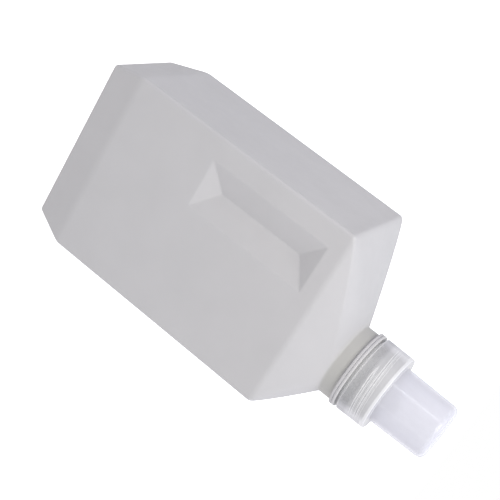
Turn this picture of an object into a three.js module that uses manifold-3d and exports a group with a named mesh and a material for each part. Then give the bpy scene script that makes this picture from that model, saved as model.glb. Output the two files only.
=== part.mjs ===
// Detergent dispenser bottle: blow-moulded bottle, press-in pouring spout,
// sealing ring and screw-on measuring cap.
// Millimetres, +Z up. The origin is the middle of the base. The front is -Y,
// and the neck stands off centre towards +X, above the end away from the grips.
import * as THREE from 'three';
import { mergeVertices } from 'three/addons/utils/BufferGeometryUtils.js';
import Module from 'manifold-3d';

// ---- driving dimensions ----------------------------------------------------

// bottle body
const WIDTH = 100;
const DEPTH = 67.8;
const WALL = 1.4;
const EDGE_RADIUS = 1.8;
const SHOULDER_HEIGHT = 148.8;
const NECK_BASE_HEIGHT = 169.6;
const SHOULDER_CROWN = 0.9;

// bevelled foot, and the shallow hollow under the base that leaves a resting rim
const FOOT_HEIGHT = 19.3;
const FOOT_INSET_X = 5.7;
const FOOT_INSET_Y = 6.2;
const FOOT_EDGE = 1;
const RIM_WIDTH = 10;
const HOLLOW_DEPTH = 2;
const HOLLOW_SLOPE = 3;

// grip recess: a hipped hollow, the same on the front and the back
const GRIP_X = -24.8;
const GRIP_WIDTH = 26.6;
const GRIP_BOTTOM = 71.6;
const GRIP_TOP = 140.8;
const GRIP_DEPTH = 5;
const GRIP_VALLEY_WIDTH = 0.8;
const GRIP_END_RUN = 10.7;

// neck, in line with the front, right and back walls
const NECK_X = (WIDTH - DEPTH) / 2;
const NECK_RADIUS = 19.8;
const FINISH_RADIUS = 18.25;
const BORE_RADIUS = 16.65;
const LIP_HEIGHT = 193.5;
const BEAD_RADIUS = 21.2;
const BEAD_GROOVE_RADIUS = 20.7;
const BEAD_BOTTOM = 177;
const BEAD_TOP = 180.1;

// screw thread, right handed
const THREAD_STARTS = 2;
const THREAD_LEAD = 6;
const THREAD_BOTTOM = 186.2;
const THREAD_TURNS = 1.05;
const THREAD_START_ANGLE = THREE.MathUtils.degToRad(218);
const NECK_THREAD_RADIUS = 19.3;
const CAP_THREAD_RADIUS = 18.6;
const CAP_THREAD_TURNS = 0.85;

// measuring cap
const SKIRT_BOTTOM = 181.6;
const SKIRT_RADIUS = 20.95;
const SKIRT_TOP_RADIUS = 20.7;
const SKIRT_BORE = 19.6;
const PLATE_BOTTOM = 196.4;
const PLATE_TOP = 197.7;
const PLATE_EDGE = 0.7;
const CUP_RADIUS = 15.8;
const CUP_TOP_RADIUS = 15.2;
const CUP_TOP = 229;
const CUP_EDGE = 4;
const CUP_WALL = 1.3;

// pouring spout
const FIT_GAP = 0.3;
const PLUG_BOTTOM = 184.5;
const PLUG_WALL = 1.3;
const FLANGE_THICKNESS = 1;
const TRAY_HEIGHT = 187.1;
const TRAY_THICKNESS = 1.2;
const TRAY_TILT = THREE.MathUtils.degToRad(5.5);
const SPOUT_RADIUS = 8.4;
const SPOUT_WALL = 1.2;
const SPOUT_HIGH = 205.4;
const SPOUT_LOW = 199;
const SPOUT_SLOT = 4;

// sealing ring between the spout's flange and the cap
const SEAL_OUTER = 19.2;
const SEAL_INNER = 15.3;

// facets round a full turn
const SIDES = 48;
const THREAD_STEPS_PER_TURN = 32;

// A round form's facets touch its circle from outside, which puts its corners
// this much further out.
const CORNER_REACH = 1 / Math.cos(Math.PI / SIDES);

// ---- solids ----------------------------------------------------------------

const wasm = await Module();
wasm.setup();

function solidOf(geometry) {
  geometry.deleteAttribute('normal');
  geometry.deleteAttribute('uv');
  const merged = mergeVertices(geometry, 1e-4);
  return new wasm.Manifold(new wasm.Mesh({
    numProp: 3,
    vertProperties: new Float32Array(merged.attributes.position.array),
    triVerts: new Uint32Array(merged.index.array),
  }));
}

function pieceOf(name, solid, material) {
  const { vertProperties, triVerts } = solid.getMesh();
  const geometry = new THREE.BufferGeometry();
  geometry.setAttribute('position', new THREE.BufferAttribute(vertProperties, 3));
  geometry.setIndex(new THREE.BufferAttribute(triVerts, 1));
  geometry.computeVertexNormals();
  const piece = new THREE.Mesh(geometry, material);
  piece.name = name;
  return piece;
}

// moves every vertex of a geometry with a function of its point
function reshape(geometry, move) {
  const position = geometry.attributes.position;
  const point = new THREE.Vector3();
  for (let i = 0; i < position.count; i += 1) {
    move(point.fromBufferAttribute(position, i));
    position.setXYZ(i, point.x, point.y, point.z);
  }
  return geometry;
}

// A level section of the bottle: a rectangle with round corners, round its own
// centre. A circle is the section whose corner radius is its half width.
function section(z, halfX, halfY, radius, x = 0) {
  return { z, halfX, halfY, radius, x };
}

function circle(z, radius) {
  return section(z, radius, radius, radius, NECK_X);
}

// point number i round a section, counted from the front towards +X
function sectionPoint({ z, halfX, halfY, radius, x }, i, target) {
  const angle = (2 * Math.PI * (i + 0.5)) / SIDES - Math.PI / 2;
  const along = Math.cos(angle);
  const across = Math.sin(angle);
  const reach = radius * CORNER_REACH;
  return target.set(
    x + Math.sign(along) * (halfX - radius) + along * reach,
    Math.sign(across) * (halfY - radius) + across * reach,
    z,
  );
}

// the solid that runs through a stack of sections, lowest first
function loft(sections) {
  const steps = sections.length - 1;
  const column = new THREE.CylinderGeometry(1, 1, 1, SIDES, steps).rotateX(Math.PI / 2);
  return solidOf(reshape(column, (point) => {
    const level = sections[Math.round((point.z + 0.5) * steps)];
    if (Math.hypot(point.x, point.y) < 0.5) {
      point.set(level.x, 0, level.z);
      return;
    }
    const turn = Math.atan2(point.y, point.x) + Math.PI / 2;
    const i = Math.round((turn / (2 * Math.PI)) * SIDES + SIDES) % SIDES;
    sectionPoint(level, i, point);
  }));
}

// a turned solid about the neck's axis, from [radius, height] pairs
function turned(profile) {
  const points = profile.map(([radius, height]) => new THREE.Vector2(radius * CORNER_REACH, height));
  const geometry = new THREE.LatheGeometry(points, SIDES, Math.PI / SIDES);
  return solidOf(geometry.rotateX(Math.PI / 2).translate(NECK_X, 0, 0));
}

// a closed ring profile goes back to its first point
function ring(profile) {
  return turned([...profile, profile[0]]);
}

// One helical ridge, standing out of a round wall towards its crest. Both ends
// run out into the wall.
function ridge({ wall, crest, rootWidth, crestWidth, bottom, angle, turns }) {
  const steps = Math.round(turns * THREAD_STEPS_PER_TURN);
  const side = Math.sign(crest - wall);
  const buried = 0.35;
  const runOut = 0.09;
  const bar = new THREE.BoxGeometry(1, 1, 1, steps, 1, 1);
  return solidOf(reshape(bar, (point) => {
    const travel = (point.x + 0.5) * turns;
    const fromEnd = Math.min(travel, turns - travel);
    const rise = (crest - wall) * Math.min(1, fromEnd / runOut - 0.1);
    const atCrest = point.z * side > 0;
    const radius = atCrest ? wall + rise : wall - side * buried;
    const width = atCrest ? crestWidth : rootWidth;
    const turn = angle + travel * 2 * Math.PI;
    const height = bottom + travel * THREAD_LEAD + point.y * width;
    point.set(NECK_X + radius * Math.cos(turn), radius * Math.sin(turn), height);
  }));
}

// the same ridge once for each start of the thread
function thread(shape) {
  let all = ridge(shape);
  for (let start = 1; start < THREAD_STARTS; start += 1) {
    const angle = shape.angle + (2 * Math.PI * start) / THREAD_STARTS;
    all = all.add(ridge({ ...shape, angle }));
  }
  return all;
}

// ---- bottle body -----------------------------------------------------------

// how far up the shoulder its sections lie, as shares of its rise
const OUTSIDE_SHARES = [0.06, 0.2, 0.36, 0.52, 0.68, 0.82, 0.93];
const INSIDE_SHARES = [0.3, 0.7, 0.93];

// The walls, moved inwards by an offset: 0 for the outside, WALL for the inside.
function wallSections(offset, shares) {
  const halfX = WIDTH / 2 - offset;
  const halfY = DEPTH / 2 - offset;
  const corner = Math.max(EDGE_RADIUS - offset, 0.6);
  const footX = halfX - FOOT_INSET_X;
  const footY = halfY - FOOT_INSET_Y;
  const footInset = (height) => 1 - height / FOOT_HEIGHT;
  const footSection = (height, trim) => section(
    offset + height,
    halfX - FOOT_INSET_X * footInset(height) - trim,
    halfY - FOOT_INSET_Y * footInset(height) - trim,
    corner,
  );
  return [
    section(offset, footX - FOOT_EDGE, footY - FOOT_EDGE, corner),
    footSection(FOOT_EDGE * 0.3, FOOT_EDGE * 0.3),
    footSection(FOOT_EDGE, 0),
    section(FOOT_HEIGHT, halfX, halfY, corner),
    ...shoulderSections(offset, halfX, halfY, corner, shares),
  ];
}

// The shoulder runs from the body's rectangle to the neck's circle. Each section
// is a rectangle that shrinks as its round corners grow into the neck.
function shoulderSections(offset, halfX, halfY, corner, shares) {
  const rise = NECK_BASE_HEIGHT - SHOULDER_HEIGHT;
  const neck = NECK_RADIUS - offset;
  const drop = offset * 0.75;
  const at = (share) => {
    const keep = 1 - share;
    return section(
      SHOULDER_HEIGHT - drop + rise * share ** SHOULDER_CROWN,
      halfX * keep + neck * share,
      halfY * keep + neck * share,
      corner * keep + neck * share,
      NECK_X * share,
    );
  };
  const edge = EDGE_RADIUS * 0.6;
  return [
    section(SHOULDER_HEIGHT - drop - edge, halfX, halfY, corner),
    section(SHOULDER_HEIGHT - drop + edge * 0.1, halfX - edge * 0.3, halfY - edge * 0.3, corner),
    ...shares.map(at),
    circle(NECK_BASE_HEIGHT + 0.5 - drop, neck + 0.5),
    circle(NECK_BASE_HEIGHT + 2 - drop, neck),
  ];
}

function outsideOfBody() {
  const groove = (BEAD_BOTTOM + BEAD_TOP) / 2;
  return loft([
    ...wallSections(0, OUTSIDE_SHARES),
    circle(BEAD_BOTTOM, NECK_RADIUS),
    circle(BEAD_BOTTOM + 0.3, BEAD_RADIUS),
    circle(groove - 0.3, BEAD_RADIUS),
    circle(groove, BEAD_GROOVE_RADIUS),
    circle(groove + 0.3, BEAD_RADIUS),
    circle(BEAD_TOP - 0.4, BEAD_RADIUS),
    circle(BEAD_TOP, BEAD_RADIUS - 0.4),
    circle(BEAD_TOP, FINISH_RADIUS),
    circle(LIP_HEIGHT - 0.4, FINISH_RADIUS),
    circle(LIP_HEIGHT, FINISH_RADIUS - 0.4),
  ]);
}

function insideOfBody() {
  return loft([
    ...wallSections(WALL, INSIDE_SHARES),
    circle(BEAD_BOTTOM - 1, NECK_RADIUS - WALL),
    circle(BEAD_TOP - 1, BORE_RADIUS),
    circle(LIP_HEIGHT + 1, BORE_RADIUS),
  ]);
}

// The grip hollow as a solid: a hipped block let into the wall on one side.
// grow thickens it all round, which gives the wall behind it.
function gripBlock(side, grow) {
  const outer = side * (DEPTH / 2);
  const deep = outer - side * (GRIP_DEPTH + grow);
  const proud = 2;
  const middle = (GRIP_TOP + GRIP_BOTTOM) / 2;
  const halfLength = (GRIP_TOP - GRIP_BOTTOM) / 2;
  const halfWidth = GRIP_WIDTH / 2;
  const flare = 1 + proud / GRIP_DEPTH;
  const block = new THREE.BoxGeometry(1, 1, 1);
  return solidOf(reshape(block, (point) => {
    const open = point.y * side > 0;
    const spreadX = (halfWidth - GRIP_VALLEY_WIDTH / 2) * flare + GRIP_VALLEY_WIDTH / 2;
    const spreadZ = halfLength - GRIP_END_RUN + GRIP_END_RUN * flare;
    const halfX = (open ? spreadX : GRIP_VALLEY_WIDTH / 2) + grow;
    const halfZ = (open ? spreadZ : halfLength - GRIP_END_RUN) + grow;
    point.set(
      GRIP_X + Math.sign(point.x) * halfX,
      open ? outer + side * proud : deep,
      middle + Math.sign(point.z) * halfZ,
    );
  }));
}

// the hollow under the base, and the same form grown by the wall
function baseHollow(grow) {
  const halfX = WIDTH / 2 - FOOT_INSET_X - FOOT_EDGE - RIM_WIDTH;
  const halfY = DEPTH / 2 - FOOT_INSET_Y - FOOT_EDGE - RIM_WIDTH;
  const bottom = -1;
  const top = HOLLOW_DEPTH + grow;
  const slope = HOLLOW_SLOPE / HOLLOW_DEPTH;
  const level = (z) => section(z, halfX + grow - z * slope, halfY + grow - z * slope, 4);
  return loft([
    { ...level(0), z: bottom },
    level(0),
    level(top),
  ]);
}

function bottleBody() {
  let shell = outsideOfBody().subtract(baseHollow(0));
  let inside = insideOfBody().subtract(baseHollow(WALL));
  for (const side of [-1, 1]) {
    shell = shell.subtract(gripBlock(side, 0));
    inside = inside.subtract(gripBlock(side, WALL));
  }
  const neckThread = thread({
    wall: FINISH_RADIUS,
    crest: NECK_THREAD_RADIUS,
    rootWidth: 1.5,
    crestWidth: 0.9,
    bottom: THREAD_BOTTOM,
    angle: THREAD_START_ANGLE,
    turns: THREAD_TURNS,
  });
  return shell.add(neckThread).subtract(inside);
}

// ---- pouring spout ---------------------------------------------------------

// A plug that presses into the bore and hangs from the lip by its flange. Its
// tray falls towards the slot at the back of the spout, so that drips run home.
function pourSpout() {
  const plugRadius = BORE_RADIUS - FIT_GAP;
  const plugBore = plugRadius - PLUG_WALL;
  const flangeBottom = LIP_HEIGHT + FIT_GAP;
  const flangeTop = flangeBottom + FLANGE_THICKNESS;
  const plug = ring([
    [plugBore, PLUG_BOTTOM],
    [plugRadius - 0.5, PLUG_BOTTOM],
    [plugRadius, PLUG_BOTTOM + 1.2],
    [plugRadius, flangeBottom],
    [FINISH_RADIUS, flangeBottom],
    [FINISH_RADIUS, flangeTop],
    [plugBore, flangeTop],
  ]);
  const trayRadius = plugBore + PLUG_WALL / 2;
  const trayDisc = new THREE.CylinderGeometry(trayRadius, trayRadius, TRAY_THICKNESS, SIDES)
    .rotateX(Math.PI / 2)
    .rotateY(-TRAY_TILT)
    .translate(NECK_X, 0, TRAY_HEIGHT);
  const tube = (radius, bottom, top) => turned([[0, bottom], [radius, bottom], [radius, top], [0, top]]);
  const spoutBottom = TRAY_HEIGHT - 2;
  const spout = tube(SPOUT_RADIUS, spoutBottom, SPOUT_HIGH + 1);
  const channel = tube(SPOUT_RADIUS - SPOUT_WALL, spoutBottom - 3, SPOUT_HIGH + 3);
  return plug
    .add(solidOf(trayDisc))
    .add(spout.subtract(spoutTopCut()))
    .subtract(channel)
    .subtract(spoutSlot());
}

// everything above the sloping mouth of the spout
function spoutTopCut() {
  const size = 60;
  const slope = Math.atan2(SPOUT_HIGH - SPOUT_LOW, 2 * SPOUT_RADIUS);
  const block = new THREE.BoxGeometry(size, size, size)
    .translate(0, 0, size / 2)
    .rotateY(-slope)
    .translate(NECK_X, 0, (SPOUT_HIGH + SPOUT_LOW) / 2);
  return solidOf(block);
}

// the drain slot through the back of the spout, down to the tray
function spoutSlot() {
  const bottom = TRAY_HEIGHT + TRAY_THICKNESS / 2 - SPOUT_RADIUS * Math.tan(TRAY_TILT);
  const height = SPOUT_HIGH - bottom;
  const block = new THREE.BoxGeometry(SPOUT_RADIUS, SPOUT_SLOT, height)
    .translate(NECK_X - SPOUT_RADIUS, 0, bottom + height / 2);
  return solidOf(block);
}

// ---- sealing ring ----------------------------------------------------------

function sealRing() {
  const bottom = LIP_HEIGHT + FLANGE_THICKNESS + 2 * FIT_GAP;
  const top = PLATE_BOTTOM - FIT_GAP;
  return ring([
    [SEAL_INNER, bottom],
    [SEAL_OUTER, bottom],
    [SEAL_OUTER, top],
    [SEAL_INNER, top],
  ]);
}

// ---- measuring cap ---------------------------------------------------------

// points of a quarter round from the side of a cup to its flat top
function cupShoulder(radius, top, edge) {
  const steps = 5;
  const points = [];
  for (let i = 0; i <= steps; i += 1) {
    const angle = (Math.PI / 2) * (i / steps);
    points.push([radius - edge + edge * Math.cos(angle), top - edge + edge * Math.sin(angle)]);
  }
  return points;
}

function measuringCap() {
  const outside = turned([
    [0, SKIRT_BOTTOM],
    [SKIRT_RADIUS - 0.3, SKIRT_BOTTOM],
    [SKIRT_RADIUS, SKIRT_BOTTOM + 0.3],
    [SKIRT_TOP_RADIUS, PLATE_TOP - PLATE_EDGE],
    [SKIRT_TOP_RADIUS - PLATE_EDGE * 0.3, PLATE_TOP - PLATE_EDGE * 0.3],
    [SKIRT_TOP_RADIUS - PLATE_EDGE, PLATE_TOP],
    [CUP_RADIUS, PLATE_TOP],
    ...cupShoulder(CUP_TOP_RADIUS, CUP_TOP, CUP_EDGE),
    [0, CUP_TOP],
  ]);
  const inside = turned([
    [0, SKIRT_BOTTOM - 1],
    [SKIRT_BORE + 0.5, SKIRT_BOTTOM - 1],
    [SKIRT_BORE + 0.5, SKIRT_BOTTOM],
    [SKIRT_BORE, SKIRT_BOTTOM + 0.8],
    [SKIRT_BORE, PLATE_BOTTOM],
    [CUP_RADIUS - CUP_WALL, PLATE_BOTTOM],
    ...cupShoulder(CUP_TOP_RADIUS - CUP_WALL, CUP_TOP - CUP_WALL, CUP_EDGE - CUP_WALL),
    [0, CUP_TOP - CUP_WALL],
  ]);
  // each ridge of the cap lies half a pitch above one of the neck's
  const capThread = thread({
    wall: SKIRT_BORE,
    crest: CAP_THREAD_RADIUS,
    rootWidth: 1.2,
    crestWidth: 0.7,
    bottom: THREAD_BOTTOM + THREAD_LEAD / THREAD_STARTS / 2,
    angle: THREAD_START_ANGLE,
    turns: CAP_THREAD_TURNS,
  });
  return outside.subtract(inside).add(capThread);
}

// ---- materials -------------------------------------------------------------

const bottlePlastic = new THREE.MeshStandardMaterial({ color: 0xbfbdc0, roughness: 0.52, metalness: 0 });
const spoutPlastic = new THREE.MeshStandardMaterial({ color: 0xc8c7ca, roughness: 0.42, metalness: 0 });
const sealFoam = new THREE.MeshStandardMaterial({ color: 0xd1d1d1, roughness: 0.8, metalness: 0 });
const capPlastic = new THREE.MeshStandardMaterial({
  color: 0xeaeaf6,
  roughness: 0.15,
  metalness: 0,
  transparent: true,
  opacity: 0.55,
});

// ---- the bottle, assembled -------------------------------------------------

const bottle = new THREE.Group();
bottle.add(
  pieceOf('bottle_body', bottleBody(), bottlePlastic),
  pieceOf('pour_spout', pourSpout(), spoutPlastic),
  pieceOf('cap_seal_ring', sealRing(), sealFoam),
  pieceOf('measuring_cap', measuringCap(), capPlastic),
);

export default bottle;
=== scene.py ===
import math

import bmesh
import bpy
import numpy as np
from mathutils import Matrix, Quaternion, Vector


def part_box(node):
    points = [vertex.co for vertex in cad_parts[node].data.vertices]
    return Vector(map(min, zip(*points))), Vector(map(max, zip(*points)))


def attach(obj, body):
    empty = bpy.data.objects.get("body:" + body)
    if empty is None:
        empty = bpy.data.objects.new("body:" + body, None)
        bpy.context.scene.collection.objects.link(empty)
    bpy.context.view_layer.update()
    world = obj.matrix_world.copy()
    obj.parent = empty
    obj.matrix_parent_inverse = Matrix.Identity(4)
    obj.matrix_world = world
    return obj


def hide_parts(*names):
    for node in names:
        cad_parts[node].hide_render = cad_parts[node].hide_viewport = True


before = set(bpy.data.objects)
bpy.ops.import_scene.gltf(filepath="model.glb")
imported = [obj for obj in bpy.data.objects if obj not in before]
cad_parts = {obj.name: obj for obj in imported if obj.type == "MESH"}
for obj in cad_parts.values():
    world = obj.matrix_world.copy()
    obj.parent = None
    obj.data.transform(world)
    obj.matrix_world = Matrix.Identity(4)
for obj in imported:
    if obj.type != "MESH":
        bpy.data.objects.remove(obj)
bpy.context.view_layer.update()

# A detergent bottle: blow-moulded body, press-in spout, sealing ring and
# translucent measuring cap. Metres, +Z up, front towards -Y.

MM = 0.001

# ---- places and sizes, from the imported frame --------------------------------

BODY_LOW, BODY_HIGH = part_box("bottle_body")
CAP_LOW, CAP_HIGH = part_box("measuring_cap")
SPOUT_LOW, SPOUT_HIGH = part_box("pour_spout")
SEAL_LOW, SEAL_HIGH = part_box("cap_seal_ring")

HALF_X = (BODY_HIGH.x - BODY_LOW.x) / 2
HALF_Y = (BODY_HIGH.y - BODY_LOW.y) / 2
LIP_Z = BODY_HIGH.z
NECK_X = (CAP_LOW.x + CAP_HIGH.x) / 2
SKIRT_RADIUS = (CAP_HIGH.x - CAP_LOW.x) / 2
SKIRT_Z = CAP_LOW.z
CUP_TOP_Z = CAP_HIGH.z

# ---- driving dimensions that the boxes don't give ----------------------------

WALL = 1.4 * MM
CORNER = 1.8 * MM
SHOULDER_Z = 148.8 * MM
NECK_BASE_Z = 169.6 * MM
SHOULDER_CROWN = 0.9
FOOT_Z = 19.3 * MM
FOOT_INSET_X = 5.7 * MM
FOOT_INSET_Y = 6.2 * MM
FOOT_EDGE = 1 * MM
FOOT_CREASE = 3 * MM
RIM_WIDTH = 10 * MM
HOLLOW_DEPTH = 2 * MM
PANEL_SINK = 0.25 * MM
COVE_WIDTH = 2.4 * MM
COVE_DEPTH = 0.4 * MM
NECK_FILLET = 0.8 * MM

GRIP_X = -24.8 * MM
GRIP_HALF_WIDTH = 13.3 * MM
GRIP_LOW_Z = 71.6 * MM
GRIP_HIGH_Z = 140.8 * MM
GRIP_DEPTH = 5 * MM
GRIP_END_RUN = 10.7 * MM
GRIP_SOFTNESS = 0.22 * MM

NECK_RADIUS = 19.8 * MM
FINISH_RADIUS = 18.25 * MM
BORE_RADIUS = 16.65 * MM
BEAD_RADIUS = 21.2 * MM
BEAD_LOW_Z = 177 * MM
BEAD_HIGH_Z = 180.1 * MM

THREAD_STARTS = 2
THREAD_LEAD = 6 * MM
THREAD_LOW_Z = 186.2 * MM
THREAD_ANGLE = math.radians(218)
THREAD_RUN_OUT = 0.07
NECK_THREAD = {
    "height": 1.05 * MM, "root": 1.4 * MM, "crest": 0.5 * MM, "turns": 1.05, "rise": 0,
}
CAP_THREAD = {
    "height": 1 * MM, "root": 1.2 * MM, "crest": 0.6 * MM, "turns": 0.85,
    "rise": THREAD_LEAD / THREAD_STARTS / 2,
}

SKIRT_BORE = 19.6 * MM
PLATE_LOW_Z = 196.4 * MM
PLATE_HIGH_Z = 197.7 * MM
CUP_RADIUS = 15.8 * MM
CUP_TOP_RADIUS = 15.2 * MM
CUP_WALL = 1.3 * MM
CUP_EDGE = 4 * MM

# ---- rounded sections ---------------------------------------------------------

# A station is a fixed line of vertices that runs from the base to the neck. Each
# one belongs to a leg of the section's outline (front, corner, right side,
# corner, back, corner, left side, corner) and has a share along that leg.

CORNER_STEPS = 8
SIDE_STEPS = 14
COVE_STEPS = 6
GRIP_STEPS = 26
GRIP_MARGIN = 1.2 * MM
FRONT_LEG, RIGHT_LEG, BACK_LEG, LEFT_LEG = 0, 2, 4, 6
LAST_LEG = 7


def spread(*stops):
    """Numbers from the first stop to the last. Stops are start, then (steps, end) pairs."""
    values = [stops[0]]
    for steps, end in stops[1:]:
        start = values[-1]
        values += [start + (end - start) * (i + 1) / steps for i in range(steps)]
    return np.array(values)


def front_shares():
    """Shares along the front wall, close together across the grip."""
    half = HALF_X - CORNER
    left, right = GRIP_X - GRIP_HALF_WIDTH, GRIP_X + GRIP_HALF_WIDTH
    edge = 0.5 * MM
    places = spread(
        -half, (1, -half + edge), (4, left - GRIP_MARGIN), (2, left),
        (GRIP_STEPS, GRIP_X), (GRIP_STEPS, right),
        (2, right + GRIP_MARGIN), (14, half - edge), (1, half),
    )
    return (places[1:-1] + half) / (2 * half)


def side_shares():
    """Shares along a side wall, close together in the cove beside each corner."""
    cove = 1.2 * COVE_WIDTH / (2 * (HALF_Y - CORNER))
    return spread(0, (COVE_STEPS, cove), (SIDE_STEPS, 1 - cove), (COVE_STEPS, 1))[1:-1]


def stations():
    """The leg and the share of each station, and the number of stations on the front wall."""
    corner = np.linspace(0, 1, CORNER_STEPS + 1)
    front = front_shares()
    side = side_shares()
    legs = [front, corner, side, corner, 1 - front[::-1], corner, side, corner]
    leg = np.concatenate([np.full(len(shares), i) for i, shares in enumerate(legs)])
    return leg, np.concatenate(legs), len(front)


STATION_LEG, STATION_SHARE, FRONT_COUNT = stations()
STATION_COUNT = len(STATION_LEG)
CORNER_SIGN_X = np.array([1, 1, -1, -1])
CORNER_SIGN_Y = np.array([-1, 1, 1, -1])


def outline(half_x, half_y, radius, x, z, evenness=0.0):
    """A level ring of vertices round a rectangle with rounded corners.

    evenness moves the stations from their own legs, 0, to even steps round the outline, 1.
    """
    radius = max(radius, 1e-6)
    flat_x, flat_y, arc = 2 * (half_x - radius), 2 * (half_y - radius), radius * math.pi / 2
    lengths = np.array([flat_x, arc, flat_y, arc] * 2)
    ends = np.cumsum(lengths)
    starts = ends - lengths
    total = ends[-1]
    own = starts[STATION_LEG] + STATION_SHARE * lengths[STATION_LEG]
    even = total * (np.arange(STATION_COUNT) - (FRONT_COUNT - 1) / 2) / STATION_COUNT + flat_x / 2
    travel = (own + (even - own) * evenness) % total
    leg = np.minimum(np.searchsorted(ends, travel, side="right"), LAST_LEG)
    along = travel - starts[leg]
    quarter = leg // 2
    on_arc = leg % 2 == 1
    angle = (quarter - 1) * math.pi / 2 + np.where(on_arc, along / radius, 0)
    straight = np.where(on_arc, 0, along)
    corner = np.where(on_arc, quarter, quarter - 1) % 4
    cos, sin = np.cos(angle), np.sin(angle)
    px = x + CORNER_SIGN_X[corner] * (half_x - radius) + radius * cos - straight * sin
    py = CORNER_SIGN_Y[corner] * (half_y - radius) + radius * sin + straight * cos
    return np.stack([px, py, np.full(STATION_COUNT, z)], axis=1)


def neck_ring(radius, z):
    return outline(radius, radius, radius, NECK_X, z, evenness=1)


def bend(first, corner, last, steps):
    """Rings that turn smoothly from one ring to another past a corner ring, ends included."""
    shares = np.linspace(0, 1, steps + 1)
    return [(1 - t) ** 2 * first + 2 * t * (1 - t) * corner + t * t * last for t in shares]


def smooth_step(value, low, high):
    t = np.clip((value - low) / (high - low), 0, 1)
    return t * t * (3 - 2 * t)


def soft_min(a, b, softness):
    """The smaller of two numbers, with the crease between them rounded."""
    gap = np.clip(softness - np.abs(a - b), 0, None)
    return np.minimum(a, b) - gap * gap / (4 * softness)


# ---- turned profiles ------------------------------------------------------------

# the longest step along a profile, where it is threaded and where it is plain
THREAD_STEP = 0.18 * MM
PLAIN_STEP = 2.5 * MM


def rounded_path(corners, closed=False, steps=5):
    """Points along straight runs whose corners are rounded. corners are (radius, z, rounding)."""
    count = len(corners)
    points = []
    for i, (r, z, rounding) in enumerate(corners):
        here = np.array([r, z])
        is_end = not closed and i in (0, count - 1)
        if is_end or rounding == 0:
            points.append(here)
            continue
        before = np.array(corners[i - 1][:2]) - here
        after = np.array(corners[(i + 1) % count][:2]) - here
        length_before, length_after = np.linalg.norm(before), np.linalg.norm(after)
        room = min(length_before, length_after) * 0.49
        turn = math.acos(np.clip(before @ after / length_before / length_after, -1, 1))
        reach = min(rounding / math.tan(turn / 2), room)
        start = here + before / length_before * reach
        end = here + after / length_after * reach
        for t in np.linspace(0, 1, steps + 1):
            weight = (1 - t) ** 2, 2 * t * (1 - t), t * t
            points.append(weight[0] * start + weight[1] * here + weight[2] * end)
    return points


def filled_path(points, longest):
    """The same path with no step longer than longest."""
    path = [points[0]]
    for end in points[1:]:
        start = path[-1]
        steps = max(1, math.ceil(np.linalg.norm(end - start) / longest))
        path += [start + (end - start) * (i + 1) / steps for i in range(steps)]
    return path


def ridge_profile(flank):
    """Rises from the root of a thread to its crest."""
    return smooth_step(flank, 0, 1)


def flank_profile(flank):
    """Highest half way up each flank of a thread."""
    return 4 * flank * (1 - flank)


def thread_share(points, root, crest, turns, rise, profile=ridge_profile, **_):
    """How much of a thread's shape each point has, from 0 on the wall to 1 at its highest."""
    angle = np.arctan2(points[:, 1], points[:, 0] - NECK_X) - THREAD_ANGLE
    share = np.zeros(len(points))
    for start in range(THREAD_STARTS):
        for winding in range(-2, 3):
            travel = (angle - 2 * math.pi * start / THREAD_STARTS) / (2 * math.pi) + winding
            off = np.abs(points[:, 2] - THREAD_LOW_Z - rise - travel * THREAD_LEAD)
            flank = np.clip((root / 2 - off) / ((root - crest) / 2), 0, 1)
            inside = np.clip(np.minimum(travel, turns - travel) / THREAD_RUN_OUT, 0, 1)
            share = np.maximum(share, profile(flank) * smooth_step(inside, 0, 1))
    return share


def moved_out(ring, distance):
    """A ring whose points are moved away from the neck's axis."""
    away = ring[:, :2] - np.array([NECK_X, 0])
    reach = np.linalg.norm(away, axis=1)
    moved = ring.copy()
    moved[:, :2] += away * (distance / reach)[:, None]
    return moved


def add_thread(ring, thread, outward):
    """A ring of a round wall with a thread raised on it, outward or inward."""
    height = thread["height"] if outward else -thread["height"]
    return moved_out(ring, thread_share(ring, **thread) * height)


# ---- meshes ----------------------------------------------------------------------


def mesh_object(name, vertices, faces):
    mesh = bpy.data.meshes.new(name)
    mesh.from_pydata([tuple(v) for v in vertices], [], faces)
    mesh.update()
    mesh.shade_smooth()
    piece = bpy.data.objects.new(name, mesh)
    bpy.context.scene.collection.objects.link(piece)
    return piece


def tidy_mesh(piece, merge=0.004 * MM):
    """Joins vertices that lie together and drops the faces that this empties."""
    work = bmesh.new()
    work.from_mesh(piece.data)
    bmesh.ops.remove_doubles(work, verts=work.verts, dist=merge)
    bmesh.ops.dissolve_degenerate(work, edges=work.edges, dist=merge)
    bmesh.ops.recalc_face_normals(work, faces=work.faces)
    work.to_mesh(piece.data)
    work.free()
    piece.data.shade_smooth()
    return piece


def skin(name, rings, closed=False):
    """A mesh over rings of equal length. closed joins the last ring to the first."""
    count = len(rings[0])
    vertices = np.concatenate(rings)
    bands = len(rings) if closed else len(rings) - 1
    faces = []
    for band in range(bands):
        low, high = band * count, ((band + 1) % len(rings)) * count
        for i in range(count):
            j = (i + 1) % count
            faces.append((low + i, low + j, high + j, high + i))
    return tidy_mesh(mesh_object(name, vertices, faces))


def turned_rings(path, sides):
    angles = 2 * math.pi * np.arange(sides) / sides
    cos, sin = np.cos(angles), np.sin(angles)
    return [
        np.stack([NECK_X + r * cos, r * sin, np.full(sides, z)], axis=1)
        for r, z in path
    ]


# ---- bottle body -----------------------------------------------------------------


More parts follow.
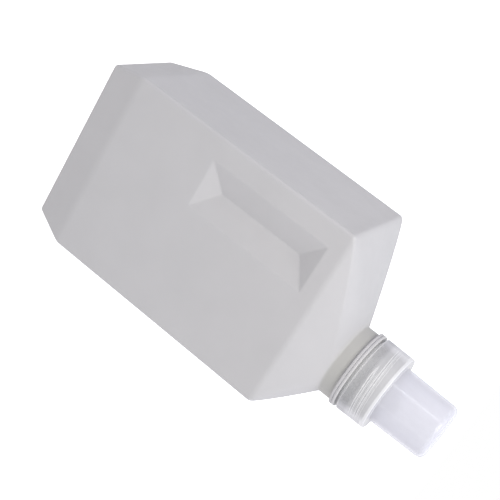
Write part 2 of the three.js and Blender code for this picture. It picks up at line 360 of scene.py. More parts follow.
def grip_depth(x, z):
    """Depth of the hipped grip hollow below the wall."""
    side_slope = GRIP_DEPTH / GRIP_HALF_WIDTH
    end_slope = GRIP_DEPTH / GRIP_END_RUN
    from_sides = soft_min((x - GRIP_X + GRIP_HALF_WIDTH) * side_slope,
                          (GRIP_X + GRIP_HALF_WIDTH - x) * side_slope, GRIP_SOFTNESS)
    from_ends = soft_min((z - GRIP_LOW_Z) * end_slope,
                         (GRIP_HIGH_Z - z) * end_slope, GRIP_SOFTNESS)
    depth = soft_min(from_sides, from_ends, GRIP_SOFTNESS)
    return -soft_min(-depth, np.zeros_like(depth), GRIP_SOFTNESS)


def panel_sink(ring, z_share):
    """How far the walls have drawn in on cooling: the front and back, then the sides.

    It is most in the middle of each panel, and the sides also have a cove beside each corner.
    """
    across_x = np.clip(1 - (ring[:, 0] / HALF_X) ** 2, 0, 1)
    across_y = np.clip(1 - (ring[:, 1] / HALF_Y) ** 2, 0, 1)
    up = 4 * z_share * (1 - z_share)
    from_corner = HALF_Y - CORNER - np.abs(ring[:, 1])
    cove = COVE_DEPTH * smooth_step(from_corner, 0, COVE_WIDTH) * smooth_step(up, 0, 0.25)
    return PANEL_SINK * up * across_x, PANEL_SINK * up * across_y + cove


def wall_ring(z, half_x, half_y, radius):
    """A ring of the upright walls, with the grips and the sunken panels."""
    ring = outline(half_x, half_y, radius, 0, z)
    sink_y, sink_x = panel_sink(ring, np.clip((z - FOOT_Z) / (SHOULDER_Z - FOOT_Z), 0, 1))
    depth = grip_depth(ring[:, 0], ring[:, 2])
    front, back = STATION_LEG == FRONT_LEG, STATION_LEG == BACK_LEG
    ring[front, 1] += (depth + sink_y)[front]
    ring[back, 1] -= (depth + sink_y)[back]
    right, left = STATION_LEG == RIGHT_LEG, STATION_LEG == LEFT_LEG
    ring[right, 0] -= sink_x[right]
    ring[left, 0] += sink_x[left]
    return ring


def foot_rings(offset, half_x, half_y, corner):
    """The base, from its middle out to the rim that it stands on, then the bevelled foot.

    The innermost ring is flattened to a line, which closes the base.
    """
    base_x, base_y = half_x - FOOT_INSET_X, half_y - FOOT_INSET_Y
    hollow_x = base_x - FOOT_EDGE - RIM_WIDTH + offset * 2
    hollow_y = base_y - FOOT_EDGE - RIM_WIDTH + offset * 2
    roof = HOLLOW_DEPTH
    slope = 1.5 * HOLLOW_DEPTH

    def level(inset, z, radius):
        return outline(hollow_x - inset, hollow_y - inset, radius, 0, offset + z)

    def base(trim, z):
        return outline(base_x - trim, base_y - trim, corner, 0, offset + z)

    middle = hollow_y - 0.01 * MM
    middle_line = level(middle, roof, 0.001 * MM)
    middle_line[:, 1] = 0
    rings = [middle_line, level(middle * 0.6, roof, 2 * MM), level(slope * 1.6, roof, 3 * MM)]
    rings += bend(level(slope * 1.3, roof, 3 * MM), level(slope, roof, 3.4 * MM),
                  level(slope * 0.8, roof * 0.8, 3.6 * MM), 4)
    rings += bend(level(slope * 0.25, roof * 0.25, 4 * MM), level(0, 0, 4 * MM),
                  level(-0.8 * MM, 0, 4 * MM), 4)
    rings += [base(FOOT_EDGE + 3 * MM, 0), base(FOOT_EDGE + 0.6 * MM, 0)]
    above = foot_wall(offset, half_x, half_y, corner, FOOT_EDGE)
    rings += bend(base(FOOT_EDGE, 0), base(0, 0), above, 6)
    heights = spread(FOOT_EDGE, (1, 2 * MM), (6, FOOT_Z - FOOT_CREASE), (10, FOOT_Z + FOOT_CREASE))[1:]
    rings += [foot_wall(offset, half_x, half_y, corner, z) for z in heights]
    return rings


def foot_wall(offset, half_x, half_y, corner, z):
    """A ring of the bevelled foot, which meets the upright walls in a soft crease."""
    share = -soft_min(-(1 - z / FOOT_Z), 0.0, 0.12)
    blend = 1 - smooth_step(z, FOOT_Z * 0.5, FOOT_Z)
    height = z + offset * blend
    return wall_ring(height, half_x - FOOT_INSET_X * share, half_y - FOOT_INSET_Y * share, corner)


def body_rings(offset):
    """Rings from the middle of the base to the foot of the neck.

    offset is 0 for the outside and WALL for the inside.
    """
    half_x, half_y = HALF_X - offset, HALF_Y - offset
    corner = max(CORNER - offset, 0.5 * MM)
    neck = NECK_RADIUS - offset
    drop = offset * 0.75
    edge = 1.5 * MM
    edge_share = 0.045
    neck_share = 0.975
    rise = NECK_BASE_Z - SHOULDER_Z

    def shoulder(share):
        keep = 1 - share
        return outline(
            half_x * keep + neck * share,
            half_y * keep + neck * share,
            corner * keep + neck * share,
            NECK_X * share,
            SHOULDER_Z - drop + rise * share ** SHOULDER_CROWN,
            smooth_step(share, 0.02, 0.86),
        )

    def wall(z):
        return wall_ring(z, half_x, half_y, corner)

    low_flat = GRIP_LOW_Z + GRIP_END_RUN
    high_flat = GRIP_HIGH_Z - GRIP_END_RUN
    top = SHOULDER_Z - drop
    heights = spread(
        FOOT_Z + FOOT_CREASE, (12, GRIP_LOW_Z - GRIP_MARGIN), (2, GRIP_LOW_Z),
        (GRIP_STEPS, low_flat), (2, low_flat + GRIP_MARGIN),
        (10, high_flat - GRIP_MARGIN), (2, high_flat),
        (GRIP_STEPS, GRIP_HIGH_Z), (2, GRIP_HIGH_Z + GRIP_MARGIN),
        (3, top - edge - 0.6 * MM),
    )[1:]
    rings = foot_rings(offset, half_x, half_y, corner)
    rings += [wall(z) for z in heights]
    rings += bend(wall(top - edge), wall(top), shoulder(edge_share), 6)
    shares = spread(edge_share, (2, 0.08), (30, neck_share))[1:-1]
    rings += [shoulder(share) for share in shares]
    foot_of_neck = neck_ring(neck, NECK_BASE_Z - drop)
    upper_neck = neck_ring(neck, NECK_BASE_Z - drop + NECK_FILLET)
    rings += bend(shoulder(neck_share), foot_of_neck, upper_neck, 6)
    return rings


def neck_rings(inner_top):
    """Rings up the outside of the neck, over the lip and down the bore."""
    groove = (BEAD_LOW_Z + BEAD_HIGH_Z) / 2
    ridge_edge = 0.32 * MM
    shallow = BEAD_RADIUS - 0.55 * MM
    path = rounded_path([
        (NECK_RADIUS, NECK_BASE_Z + NECK_FILLET + 0.3 * MM, 0),
        (NECK_RADIUS, BEAD_LOW_Z, 0.25 * MM),
        (BEAD_RADIUS, BEAD_LOW_Z + 0.1 * MM, 0.4 * MM),
        (BEAD_RADIUS, groove - ridge_edge, 0.3 * MM),
        (shallow, groove, 0.2 * MM),
        (BEAD_RADIUS, groove + ridge_edge, 0.3 * MM),
        (BEAD_RADIUS, BEAD_HIGH_Z, 0.45 * MM),
        (FINISH_RADIUS, BEAD_HIGH_Z, 0.4 * MM),
        (FINISH_RADIUS, LIP_Z, 0.5 * MM),
        (BORE_RADIUS, LIP_Z, 0.4 * MM),
        (BORE_RADIUS, BEAD_HIGH_Z - 1 * MM, 2 * MM),
        (NECK_RADIUS - WALL, BEAD_LOW_Z - 1 * MM, 2 * MM),
        (NECK_RADIUS - WALL, inner_top, 0),
    ])
    threaded = THREAD_LOW_Z - 1.5 * MM
    rings = [neck_ring(*path[0])]
    for start, end in zip(path, path[1:]):
        on_finish = all(abs(r - FINISH_RADIUS) < 0.01 * MM for r in (start[0], end[0]))
        for r, z in filled_path([start, end], THREAD_STEP if on_finish else PLAIN_STEP)[1:]:
            ring = neck_ring(r, z)
            if on_finish and z > threaded:
                ring = add_thread(ring, NECK_THREAD, outward=True)
            rings.append(ring)
    return rings


def bottle_shell():
    inside = body_rings(WALL)
    inner_top = inside[-1][0, 2] + 0.4 * MM
    rings = body_rings(0) + neck_rings(inner_top) + inside[::-1]
    return skin("bottle_shell", rings)


# ---- measuring cap -----------------------------------------------------------------

CAP_SIDES = 180
SKIRT_DRAFT = 0.25 * MM

# fine grooves in the skirt's outer wall: over the flanks of the thread inside, and
# fainter ones between its turns
GROOVES = (
    {**CAP_THREAD, "height": 0.12 * MM, "root": 1.6 * MM, "crest": 0.5 * MM},
    {**CAP_THREAD, "height": 0.08 * MM, "root": 1.3 * MM, "crest": 0.3 * MM,
     "rise": THREAD_LEAD / THREAD_STARTS, "turns": 0.95},
)


def cap_rings(path, shape_skirt):
    """Rings along a path. Those on the skirt's walls lie close together and are shaped."""
    rings = turned_rings([path[0]], CAP_SIDES)
    for start, end in zip(path, path[1:]):
        on_skirt = max(start[1], end[1]) < PLATE_HIGH_Z and abs(start[1] - end[1]) > 5 * MM
        step = THREAD_STEP if on_skirt else PLAIN_STEP
        for ring in turned_rings(filled_path([start, end], step)[1:], CAP_SIDES):
            rings.append(shape_skirt(ring) if on_skirt else ring)
    return rings


def threaded_inside(ring):
    return add_thread(ring, CAP_THREAD, outward=False)


def grooved_outside(ring):
    depths = [
        groove["height"] * thread_share(ring, profile=flank_profile, **groove) for groove in GROOVES
    ]
    return moved_out(ring, -np.max(depths, axis=0))


def cap_moulding():
    bore_mouth = 0.5 * MM
    inner_top = CUP_TOP_Z - CUP_WALL
    skirt_top = SKIRT_RADIUS - SKIRT_DRAFT
    on_axis = 0.3 * MM
    inside = rounded_path([
        (on_axis, inner_top, 0),
        (CUP_TOP_RADIUS - CUP_WALL, inner_top, CUP_EDGE - CUP_WALL),
        (CUP_RADIUS - CUP_WALL, PLATE_LOW_Z, 0.4 * MM),
        (SKIRT_BORE, PLATE_LOW_Z, 0.6 * MM),
        (SKIRT_BORE, SKIRT_Z + 0.8 * MM, 0.3 * MM),
        (SKIRT_BORE + bore_mouth, SKIRT_Z, 0),
    ], steps=6)
    outside = rounded_path([
        (SKIRT_BORE + bore_mouth, SKIRT_Z, 0),
        (SKIRT_RADIUS, SKIRT_Z, 0.35 * MM),
        (skirt_top, PLATE_HIGH_Z, 0.75 * MM),
        (CUP_RADIUS, PLATE_HIGH_Z, 0.5 * MM),
        (CUP_TOP_RADIUS, CUP_TOP_Z, CUP_EDGE),
        (on_axis, CUP_TOP_Z, 0),
    ], steps=8)
    inner_middle, outer_middle = turned_rings([(0, inner_top), (0, CUP_TOP_Z)], CAP_SIDES)
    rings = cap_rings(inside, threaded_inside) + cap_rings(outside, grooved_outside)
    return skin("cap_moulding", [inner_middle] + rings + [outer_middle])


# ---- sealing ring -------------------------------------------------------------------

TURNED_SIDES = 120
SEAL_WIDTH = 3.9 * MM


def sealing_ring():
    outer = (SEAL_HIGH.x - SEAL_LOW.x) / 2
    inner = outer - SEAL_WIDTH
    path = rounded_path([
        (inner, SEAL_LOW.z, 0.25 * MM),
        (outer, SEAL_LOW.z, 0.25 * MM),
        (outer, SEAL_HIGH.z, 0.25 * MM),
        (inner, SEAL_HIGH.z, 0.25 * MM),
    ], closed=True, steps=4)
    return skin("sealing_ring", turned_rings(path, TURNED_SIDES), closed=True)


# ---- pouring spout ---------------------------------------------------------------------

FIT_GAP = 0.3 * MM
PLUG_RADIUS = BORE_RADIUS - FIT_GAP
PLUG_BORE = PLUG_RADIUS - 1.3 * MM
FLANGE_RADIUS = (SPOUT_HIGH.x - SPOUT_LOW.x) / 2
FLANGE_LOW_Z = LIP_Z + FIT_GAP
FLANGE_HIGH_Z = FLANGE_LOW_Z + 1 * MM
TRAY_Z = 187.1 * MM
TRAY_THICKNESS = 1.2 * MM
TRAY_TILT = math.radians(5.5)
SPOUT_RADIUS = 8.4 * MM
SPOUT_WALL = 1.2 * MM
SPOUT_BACK_Z = 199 * MM
SLOT_HALF_WIDTH = 2 * MM
REMESH_SIZE = 0.34 * MM


def plug_and_flange():
    path = rounded_path([
        (PLUG_BORE, SPOUT_LOW.z, 0.3 * MM),
        (PLUG_RADIUS - 0.5 * MM, SPOUT_LOW.z, 0.3 * MM),
        (PLUG_RADIUS, SPOUT_LOW.z + 1.2 * MM, 0.5 * MM),
        (PLUG_RADIUS, FLANGE_LOW_Z, 0.2 * MM),
        (FLANGE_RADIUS, FLANGE_LOW_Z, 0.25 * MM),
        (FLANGE_RADIUS, FLANGE_HIGH_Z, 0.3 * MM),
        (PLUG_BORE, FLANGE_HIGH_Z, 0.5 * MM),
    ], closed=True, steps=4)
    path = filled_path(path + [path[0]], 1.5 * MM)[:-1]
    return skin("plug_and_flange", turned_rings(path, TURNED_SIDES), closed=True)


def tray():
    """The floor between the plug and the spout, which falls towards the back of the spout."""
    outer, inner = PLUG_BORE + 0.6 * MM, SPOUT_RADIUS - 0.6 * MM
    half = TRAY_THICKNESS / 2
    path = [(inner, -half), (outer, -half), (outer, half), (inner, half)]
    rings = turned_rings(path, TURNED_SIDES)
    for ring in rings:
        ring[:, 2] += TRAY_Z + (ring[:, 0] - NECK_X) * math.tan(TRAY_TILT)
    return skin("tray", rings, closed=True)


def spout_tube():
    """The slanted spout: a tube that is open in a slot at its back."""
    bottom = TRAY_Z - 2 * MM
    slope = (SPOUT_HIGH.z - SPOUT_BACK_Z) / (2 * SPOUT_RADIUS)
    middle = (SPOUT_HIGH.z + SPOUT_BACK_Z) / 2
    slot = math.asin(SLOT_HALF_WIDTH / SPOUT_RADIUS)
    inner = SPOUT_RADIUS - SPOUT_WALL
    flare = 0.5 * MM
    profile = [
        (inner, 0), (SPOUT_RADIUS, 0), (SPOUT_RADIUS, 0.75), (SPOUT_RADIUS + flare * 0.4, 0.92),
        (SPOUT_RADIUS + flare, 1), (inner + flare, 1), (inner + flare * 0.3, 0.92), (inner, 0.75),
    ]
    sections = []
    for angle in np.linspace(-math.pi + slot, math.pi - slot, 100):
        section = []
        for r, share in profile:
            x = r * math.cos(angle)
            top = middle + np.clip(x, -SPOUT_RADIUS, SPOUT_RADIUS) * slope
            section.append((NECK_X + x, r * math.sin(angle), bottom + (top - bottom) * share))
        sections.append(section)
    count = len(sections[0])
    vertices = [point for section in sections for point in section]
    faces = [tuple(range(count)), tuple(reversed(range(len(vertices) - count, len(vertices))))]
    for i in range(len(sections) - 1):
        for j in range(count):
            k = (j + 1) % count
            here, ahead = i * count, (i + 1) * count
            faces.append((here + j, here + k, ahead + k, ahead + j))
    return tidy_mesh(mesh_object("spout_tube", vertices, faces))


def apply_modifiers(piece):
    """Replaces a piece's mesh by the result of its modifiers."""
    bpy.context.view_layer.update()
    evaluated = piece.evaluated_get(bpy.context.evaluated_depsgraph_get())
    mesh = bpy.data.meshes.new_from_object(evaluated)
    old = piece.data
    piece.modifiers.clear()
    piece.data = mesh
    mesh.name = piece.name
    bpy.data.meshes.remove(old)


def spout_insert():
    """The three parts joined into one moulding, with the joints between them filleted."""
    piece = plug_and_flange()
    piece.name = "spout_insert"
    for part in (tray(), spout_tube()):
        join = piece.modifiers.new("join", "BOOLEAN")
        join.operation = "UNION"
        join.solver = "EXACT"
        join.object = part
        apply_modifiers(piece)
        bpy.data.objects.remove(part)
    remesh = piece.modifiers.new("remesh", "REMESH")
    remesh.mode = "VOXEL"
    remesh.voxel_size = REMESH_SIZE
    remesh.use_smooth_shade = True
    smooth = piece.modifiers.new("smooth", "SMOOTH")
    smooth.factor = 0.5
    smooth.iterations = 4
    apply_modifiers(piece)
    return piece


# ---- materials ---------------------------------------------------------------------------


def new_material(name):
    material = bpy.data.materials.new(name)
    material.use_nodes = True
    tree = material.node_tree
    shader = tree.nodes["Principled BSDF"]
    return material, tree, shader


def node(tree, kind, inputs=None, **settings):
    made = tree.nodes.new(kind)
    for key, value in settings.items():
        setattr(made, key, value)
    for key, value in (inputs or {}).items():
        made.inputs[key].default_value = value
    return made


def noise(tree, place, scale, detail=4.0, roughness=0.55):
    made = node(tree, "ShaderNodeTexNoise", {
        "Scale": scale, "Detail": detail, "Roughness": roughness,
    })
    tree.links.new(place, made.inputs["Vector"])
    return made.outputs["Fac"]


def mapped(tree, value, start, end, low, high):
    """A value carried from the range start-end to low-high, and held at its ends."""
    made = node(tree, "ShaderNodeMapRange", {
        "From Min": start, "From Max": end, "To Min": low, "To Max": high,
    })
    tree.links.new(value, made.inputs["Value"])
    return made.outputs["Result"]


def noise_between(tree, value, low, high):
    """A noise carried to the range low-high. Most of a noise lies between 0.3 and 0.7."""
    return mapped(tree, value, 0.3, 0.7, low, high)


def maths(tree, operation, first, second):
    """Two values, each a number or a socket, put through one operation."""
    made = node(tree, "ShaderNodeMath", operation=operation)
    for socket, value in zip(made.inputs, (first, second)):
        if isinstance(value, (int, float)):
            socket.default_value = value
        else:
            tree.links.new(value, socket)
    return made.outputs["Value"]


def product(tree, first, *others):
    result = first
    for other in others:
        result = maths(tree, "MULTIPLY", result, other)
    return result


def mixed(tree, factor, first, second, kind="RGBA", blend="MIX"):
    """Goes from the first to the second with a factor. Each is a colour or a socket."""
    made = node(tree, "ShaderNodeMix", data_type=kind, blend_type=blend)
    tree.links.new(factor, made.inputs["Factor"])
    for key, value in (("A", first), ("B", second)):
        if isinstance(value, tuple):
            made.inputs[key].default_value = (*value, 1)
        else:
            tree.links.new(value, made.inputs[key])
    return made.outputs["Result"]


def bump(tree, height, strength, distance, after=None):
    made = node(tree, "ShaderNodeBump", {"Strength": strength, "Distance": distance})
    tree.links.new(height, made.inputs["Height"])
    if after is not None:
        tree.links.new(after, made.inputs["Normal"])
    return made.outputs["Normal"]


def object_place(tree):
    return node(tree, "ShaderNodeTexCoord").outputs["Object"]


def height_at(tree, place):
    split = node(tree, "ShaderNodeSeparateXYZ")
    tree.links.new(place, split.inputs["Vector"])
    return split.outputs["Z"]


def from_neck_axis(tree, place):
    """How far a place is from the neck's axis."""
    from_axis = node(tree, "ShaderNodeVectorMath", {1: (-NECK_X, 0, 0)}, operation="ADD")
    level = node(tree, "ShaderNodeVectorMath", {1: (1, 1, 0)}, operation="MULTIPLY")
    length = node(tree, "ShaderNodeVectorMath", operation="LENGTH")
    tree.links.new(place, from_axis.inputs[0])
    tree.links.new(from_axis.outputs["Vector"], level.inputs[0])
    tree.links.new(level.outputs["Vector"], length.inputs[0])
    return length.outputs["Value"]


def banded(tree, height, bands):
    """A colour, or a grey for a number, that changes with height through (height, value) pairs."""
    low, high = bands[0][0], bands[-1][0]
    made = node(tree, "ShaderNodeValToRGB")
    elements = made.color_ramp.elements
    while len(elements) < len(bands):
        elements.new(0.999)
    for element, (place, value) in zip(elements, bands):
        element.position = (place - low) / (high - low)
        element.color = (*value, 1) if isinstance(value, tuple) else (value, value, value, 1)
    tree.links.new(mapped(tree, height, low, high, 0.0, 1.0), made.inputs["Fac"])
    return made.outputs["Color"]


# the tone of the bottle's plastic by height: the neck between the shoulder and the bead is
# a little darker and warmer, and the finish is painted lighter: strongly in the gap between
# the bead and the cap's rim, a painted light over the shade there, and a little where it is
# seen through the cap
BODY_TONE = (0.534, 0.526, 0.544)
NECK_TONE = (0.472, 0.467, 0.457)
FINISH_PAINTED_LIGHT = (0.72, 0.72, 0.72)
BODY_CLOUD = (0.965, 0.965, 0.965)
BOTTLE_BANDS = (
    (0.0, BODY_TONE),
    (NECK_BASE_Z - 0.6 * MM, BODY_TONE),
    (NECK_BASE_Z + 1 * MM, NECK_TONE),
    (BEAD_LOW_Z - 0.3 * MM, NECK_TONE),
    (BEAD_LOW_Z, BODY_TONE),
    (BEAD_HIGH_Z - 0.3 * MM, BODY_TONE),
    # painted light: the finish in the gap under the cap's rim is lighter than the body
    (BEAD_HIGH_Z, FINISH_PAINTED_LIGHT),
    (SKIRT_Z + 0.3 * MM, FINISH_PAINTED_LIGHT),
    (SKIRT_Z + 1 * MM, (0.56, 0.56, 0.56)),
    (LIP_Z, (0.60, 0.60, 0.60)),
)


def bottle_plastic():
    """Light grey polyethylene, faintly cloudy, with the fine blasted grain of a blow mould."""
    material, tree, shader = new_material("bottle_plastic")
    place = object_place(tree)
    cloud = noise(tree, place, 38, detail=3)
    patch = noise(tree, place, 170, detail=5)
    grain = noise(tree, place, 2600, detail=2)
    tone = banded(tree, height_at(tree, place), BOTTLE_BANDS)
    clouded = mixed(tree, noise_between(tree, cloud, 0, 1), tone, BODY_CLOUD, blend="MULTIPLY")
    tree.links.new(clouded, shader.inputs["Base Color"])
    tree.links.new(noise_between(tree, patch, 0.46, 0.58), shader.inputs["Roughness"])
    soft = bump(tree, cloud, 0.12, 0.6 * MM)
    tree.links.new(bump(tree, grain, 0.18, 0.05 * MM, after=soft), shader.inputs["Normal"])
    shader.inputs["IOR"].default_value = 1.5
    shader.inputs["Specular IOR Level"].default_value = 0.35
    shader.inputs["Subsurface Weight"].default_value = 0.12
    shader.inputs["Subsurface Radius"].default_value = (1.0, 1.0, 1.0)
    shader.inputs["Subsurface Scale"].default_value = 1.2 * MM
    return material


def spout_plastic():
    """Light grey polyethylene, satin."""
    material, tree, shader = new_material("spout_plastic")
    place = object_place(tree)
    cloud = noise(tree, place, 150, detail=3)
    dark, light = (0.56, 0.555, 0.57), (0.60, 0.595, 0.61)
    colour = mixed(tree, noise_between(tree, cloud, 0, 1), dark, light)
    grain = bump(tree, noise(tree, place, 1800), 0.15, 0.05 * MM)
    tree.links.new(colour, shader.inputs["Base Color"])
    tree.links.new(noise_between(tree, cloud, 0.36, 0.48), shader.inputs["Roughness"])
    tree.links.new(grain, shader.inputs["Normal"])
    return material


def seal_foam():
    """Closed-cell foamed polyethylene."""
    material, tree, shader = new_material("seal_foam")
    place = object_place(tree)
    cells = node(tree, "ShaderNodeTexVoronoi", {"Scale": 2200.0})
    tree.links.new(place, cells.inputs["Vector"])
    edge = cells.outputs["Distance"]
    dark, light = (0.60, 0.60, 0.60), (0.68, 0.68, 0.68)
    tree.links.new(mixed(tree, edge, dark, light), shader.inputs["Base Color"])
    tree.links.new(mapped(tree, edge, 0, 0.6, 0.7, 0.85), shader.inputs["Roughness"])
    tree.links.new(bump(tree, edge, 0.4, 0.08 * MM), shader.inputs["Normal"])
    return material


# The cap's moulding by height: its tone, and how much one face of its
# wall lets through. It is thin at the skirt's mouth and thick at the plate. The tone
# holds painted shade: darker on the lower skirt, standing in for the shaded neck
# seen through it, and darker on the plate's top face, where the light from above
# would make it too bright. It is also darker at the cup's foot.
CAP_BANDS = (
    (SKIRT_Z, (0.88, 0.88, 0.90), 0.45),
    (SKIRT_Z + 0.4 * MM, (0.80, 0.80, 0.82), 0.55),
    # painted shade: the lower skirt is darker, for the shaded neck seen through it
    (SKIRT_Z + 0.8 * MM, (0.62, 0.62, 0.65), 0.70),
    (THREAD_LOW_Z - 0.5 * MM, (0.64, 0.64, 0.67), 0.70),
    (THREAD_LOW_Z + 1.2 * MM, (0.82, 0.82, 0.85), 0.62),
    (PLATE_LOW_Z - 0.6 * MM, (0.82, 0.82, 0.85), 0.42),
    (PLATE_LOW_Z, (0.80, 0.80, 0.83), 0.04),
    (PLATE_HIGH_Z - 0.2 * MM, (0.80, 0.80, 0.83), 0.04),
    # painted shade: the plate's top face is darker than the light makes it
    (PLATE_HIGH_Z - 0.02 * MM, (0.63, 0.63, 0.67), 0.10),
    (PLATE_HIGH_Z + 0.4 * MM, (0.72, 0.72, 0.78), 0.30),
    (PLATE_HIGH_Z + 4 * MM, (0.83, 0.83, 0.91), 0.42),
    (CUP_TOP_Z, (0.84, 0.84, 0.92), 0.44),
)
CAP_CLOUD = (0.955, 0.955, 0.96)
# painted highlight: the colour put on the thread's flanks and in the outer grooves
PAINTED_FLANK_HIGHLIGHT = (0.96, 0.96, 0.98)
# painted shade: the skirt's colour is multiplied by this where its wall turns away from the view
PAINTED_SIDE_SHADE = (0.78, 0.78, 0.80)

# what is left of that share on a flank of the thread, and where the wall turns away
FLANK_CLEAR = 0.12
SKIRT_EDGE_CLEAR = 0.03
CUP_EDGE_CLEAR = 0.45

# the facing value, 0 head on and 1 edge on, at which the wall starts to turn away
# and the painted side shade begins
TURNS_AWAY = 0.38

SKIRT_ROUGHNESS = 0.34
CUP_ROUGHNESS = 0.13


def thread_flanks(tree, height, radius, below_plate):
    """Where a painted highlight marks a thread: on its flanks inside, and in the grooves outside. The
    same mask makes the wall less clear there.
    """
    up_flank = mapped(tree, radius, SKIRT_BORE - 0.95 * MM, SKIRT_BORE - 0.75 * MM, 0.0, 1.0)
    off_bore = mapped(tree, radius, SKIRT_BORE - 0.2 * MM, SKIRT_BORE - 0.02 * MM, 1.0, 0.0)
    inside = product(tree, up_flank, off_bore, below_plate)

    # without its draft the outer wall has one radius, so a groove shows as a smaller one
    lost_to_draft = mapped(tree, height, SKIRT_Z, PLATE_HIGH_Z, 0.0, SKIRT_DRAFT)
    undrafted = maths(tree, "ADD", radius, lost_to_draft)
    outer_wall = mapped(
        tree, undrafted, SKIRT_RADIUS - 0.25 * MM, SKIRT_RADIUS - 0.2 * MM, 0.0, 1.0)
    in_groove = mapped(
        tree, undrafted, SKIRT_RADIUS - 0.10 * MM, SKIRT_RADIUS - 0.03 * MM, 0.7, 0.0)
    off_edges = product(
        tree,
        mapped(tree, height, PLATE_LOW_Z - 0.8 * MM, PLATE_LOW_Z - 0.4 * MM, 1.0, 0.0),
        mapped(tree, height, SKIRT_Z + 1 * MM, SKIRT_Z + 1.4 * MM, 0.0, 1.0),
    )
    outside = product(tree, outer_wall, in_groove, off_edges)
    return maths(tree, "MAXIMUM", inside, outside)


def cap_colour(tree, height, flow, flank, painted_side_shade_mask):
    tone = banded(tree, height, [(z, tone) for z, tone, _ in CAP_BANDS])
    clouded = mixed(tree, noise_between(tree, flow, 0, 1), tone, CAP_CLOUD, blend="MULTIPLY")
    # painted highlight along the thread's flanks and the grooves
    lit = mixed(tree, flank, clouded, PAINTED_FLANK_HIGHLIGHT)
    # painted shade towards the skirt's sides
    return mixed(tree, painted_side_shade_mask, lit, PAINTED_SIDE_SHADE, blend="MULTIPLY")


def cap_clear(tree, height, facing, flank):
    """The share of the light that one face of the cap's wall lets through."""
    by_height = banded(tree, height, [(z, share) for z, _, share in CAP_BANDS])
    by_flank = mapped(tree, flank, 0.0, 1.0, 1.0, FLANK_CLEAR)
    on_skirt = mapped(tree, facing, TURNS_AWAY, 0.60, 1.0, SKIRT_EDGE_CLEAR)
    on_cup = mapped(tree, facing, 0.45, 1.0, 1.0, CUP_EDGE_CLEAR)
    above_skirt = mapped(tree, height, PLATE_LOW_Z, PLATE_HIGH_Z, 0.0, 1.0)
    by_slant = mixed(tree, above_skirt, on_skirt, on_cup, kind="FLOAT")
    return product(tree, by_height, by_flank, by_slant)


def cap_plastic():
    """Natural polypropylene: milky, so it shows less where there is more to look through."""
    material, tree, shader = new_material("cap_plastic")
    place = object_place(tree)
    flow = noise(tree, place, 60, detail=4)
    fine = noise(tree, place, 900, detail=3)
    height = height_at(tree, place)
    radius = from_neck_axis(tree, place)
    facing = node(tree, "ShaderNodeLayerWeight", {"Blend": 0.5}).outputs["Facing"]

    below_plate = mapped(tree, height, PLATE_LOW_Z - 1.2 * MM, PLATE_LOW_Z - 0.8 * MM, 1.0, 0.0)
    flank = thread_flanks(tree, height, radius, below_plate)
    # painted shade: a mask by Layer Weight's Facing that darkens the skirt towards its sides
    painted_side_shade_mask = product(tree, mapped(tree, facing, TURNS_AWAY, 0.70, 0.0, 1.0), below_plate)
    colour = cap_colour(tree, height, flow, flank, painted_side_shade_mask)
    polish = mapped(tree, height, PLATE_LOW_Z, PLATE_HIGH_Z, SKIRT_ROUGHNESS, CUP_ROUGHNESS)
    roughness = maths(tree, "ADD", noise_between(tree, fine, 0, 0.06), polish)
    hidden = maths(tree, "SUBTRACT", 1.0, cap_clear(tree, height, facing, flank))

    tree.links.new(colour, shader.inputs["Base Color"])
    tree.links.new(roughness, shader.inputs["Roughness"])
    tree.links.new(bump(tree, flow, 0.06, 0.2 * MM), shader.inputs["Normal"])
    tree.links.new(hidden, shader.inputs["Alpha"])
    return material


def dress(piece, material, body, replaced):
    """Gives a piece its material, and tells the frame what it rides on and stands in for."""
    piece.data.materials.clear()
    piece.data.materials.append(material)
    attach(piece, body)
    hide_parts(replaced)


# ---- floor, light and camera ------------------------------------------------------------

FLOOR_HALF = 6.0
FLOOR_STEPS = 8
FLOOR_GAP = 0.02 * MM


def pale_floor():
    """A white light table under the bottle."""
    ticks = np.linspace(-FLOOR_HALF, FLOOR_HALF, FLOOR_STEPS + 1)
    vertices = [(x, y, 0) for y in ticks for x in ticks]
    row = FLOOR_STEPS + 1
    starts = [j * row + i for j in range(FLOOR_STEPS) for i in range(FLOOR_STEPS)]
    faces = [(first, first + 1, first + row + 1, first + row) for first in starts]
    floor = mesh_object("floor", vertices, faces)
    floor.location.z = -FLOOR_GAP
    material, _, shader = new_material("floor_white")
    shader.inputs["Base Color"].default_value = (0.85, 0.85, 0.85, 1)
    shader.inputs["Roughness"].default_value = 0.8
    shader.inputs["Emission Color"].default_value = (1, 1, 1, 1)
    shader.inputs["Emission Strength"].default_value = 0.8
    floor.data.materials.append(material)
    floor.visible_diffuse = False
    floor.visible_glossy = False
    floor.visible_shadow = False


# the brightness and tint of the white surroundings on each side of the bottle
TENT_WALLS = (
    ((1, 0, 0), (1.26, 1.22, 1.24)),
    ((-1, 0, 0), (0.58, 0.59, 0.66)),
    ((0, 1, 0), (0.82, 0.82, 0.82)),
    ((0, -1, 0), (0.59, 0.61, 0.61)),
    ((0, 0, 1), (0.86, 0.93, 1.02)),
    ((0, 0, -1), (1.07, 1.04, 1.02)),
)


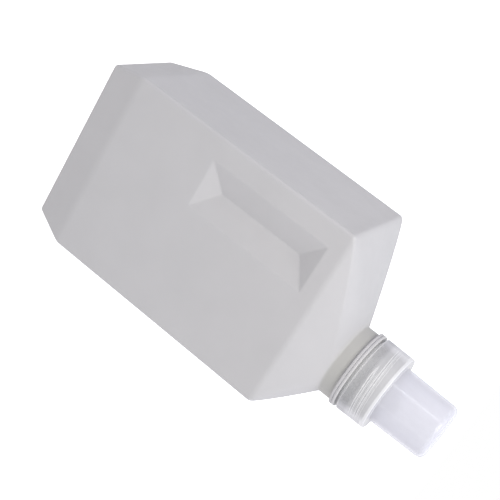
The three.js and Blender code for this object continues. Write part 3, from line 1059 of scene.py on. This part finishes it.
def studio_world():
    """A light tent that blends from one wall to the next. The camera sees plain white."""
    world = bpy.data.worlds.new("studio")
    bpy.context.scene.world = world
    world.use_nodes = True
    tree = world.node_tree
    background = tree.nodes["Background"]
    direction = node(tree, "ShaderNodeTexCoord").outputs["Generated"]
    light = None
    for axis, colour in TENT_WALLS:
        towards = node(tree, "ShaderNodeVectorMath", {1: axis}, operation="DOT_PRODUCT")
        tree.links.new(direction, towards.inputs[0])
        share = maths(tree, "POWER", maths(tree, "MAXIMUM", towards.outputs["Value"], 0.0), 2.0)
        wall = node(tree, "ShaderNodeVectorMath", {0: colour}, operation="SCALE")
        tree.links.new(share, wall.inputs["Scale"])
        if light is None:
            light = wall.outputs["Vector"]
            continue
        total = node(tree, "ShaderNodeVectorMath", operation="ADD")
        tree.links.new(light, total.inputs[0])
        tree.links.new(wall.outputs["Vector"], total.inputs[1])
        light = total.outputs["Vector"]
    seen = node(tree, "ShaderNodeLightPath").outputs["Is Camera Ray"]
    tree.links.new(mixed(tree, seen, light, (1, 1, 1)), background.inputs["Color"])


def softbox(name, azimuth, height, distance, size, power, colour=(1, 1, 1), gloss_only=False):
    """An area light that faces the bottle's axis. Azimuth 0 is in front, -Y, and 90 is +X."""
    a = math.radians(azimuth)
    aim = Vector((NECK_X / 2, 0, BODY_HIGH.z / 2))
    place = Vector((aim.x + math.sin(a) * distance, aim.y - math.cos(a) * distance, height))
    data = bpy.data.lights.new(name, "AREA")
    data.shape = "RECTANGLE"
    data.size, data.size_y = size
    data.energy = power
    data.color = colour
    light = bpy.data.objects.new(name, data)
    light.location = place
    light.rotation_euler = (aim - place).to_track_quat("-Z", "Y").to_euler()
    light.visible_diffuse = not gloss_only
    bpy.context.scene.collection.objects.link(light)


def studio_lights():
    softbox("key", azimuth=-45, height=0.7, distance=0.6, size=(0.5, 0.5), power=4.35,
            colour=(1.03, 0.98, 0.90))
    strip = {"height": -0.05, "distance": 0.9, "size": (0.05, 0.9), "gloss_only": True}
    softbox("left_strip", azimuth=-61, power=1.3, **strip)
    softbox("right_strip", azimuth=25, power=0.5, **strip)


# the view that was fitted to the photo
VIEW_HEADING = math.radians(23.32)
VIEW_PITCH = math.radians(15.364)
VIEW_ROLL = math.radians(128.049)
VIEW_AIM = Vector((3.475, 4.932, 98.184)) * MM
VIEW_DISTANCE = 600 * MM
VIEW_SENSOR = 36
VIEW_LENS = 85.353


def studio_camera():
    """Looks slightly down at the bottle, and is rolled so that the bottle lies across the view."""
    level = math.cos(VIEW_PITCH)
    look = Vector((
        math.sin(VIEW_HEADING) * level, math.cos(VIEW_HEADING) * level, -math.sin(VIEW_PITCH),
    ))
    data = bpy.data.cameras.new("camera")
    data.sensor_width = VIEW_SENSOR
    data.lens = VIEW_LENS
    camera = bpy.data.objects.new("camera", data)
    camera.location = VIEW_AIM - look * VIEW_DISTANCE
    camera.rotation_mode = "QUATERNION"
    camera.rotation_quaternion = look.to_track_quat("-Z", "Y") @ Quaternion((0, 0, 1), VIEW_ROLL)
    bpy.context.scene.collection.objects.link(camera)
    bpy.context.scene.camera = camera


# ---- the scene -----------------------------------------------------------------------------

studio_camera()
studio_world()
studio_lights()
pale_floor()
bpy.context.scene.view_settings.view_transform = "Standard"

dress(bottle_shell(), bottle_plastic(), "bottle", "bottle_body")
dress(spout_insert(), spout_plastic(), "bottle", "pour_spout")
dress(sealing_ring(), seal_foam(), "seal", "cap_seal_ring")
dress(cap_moulding(), cap_plastic(), "cap", "measuring_cap")
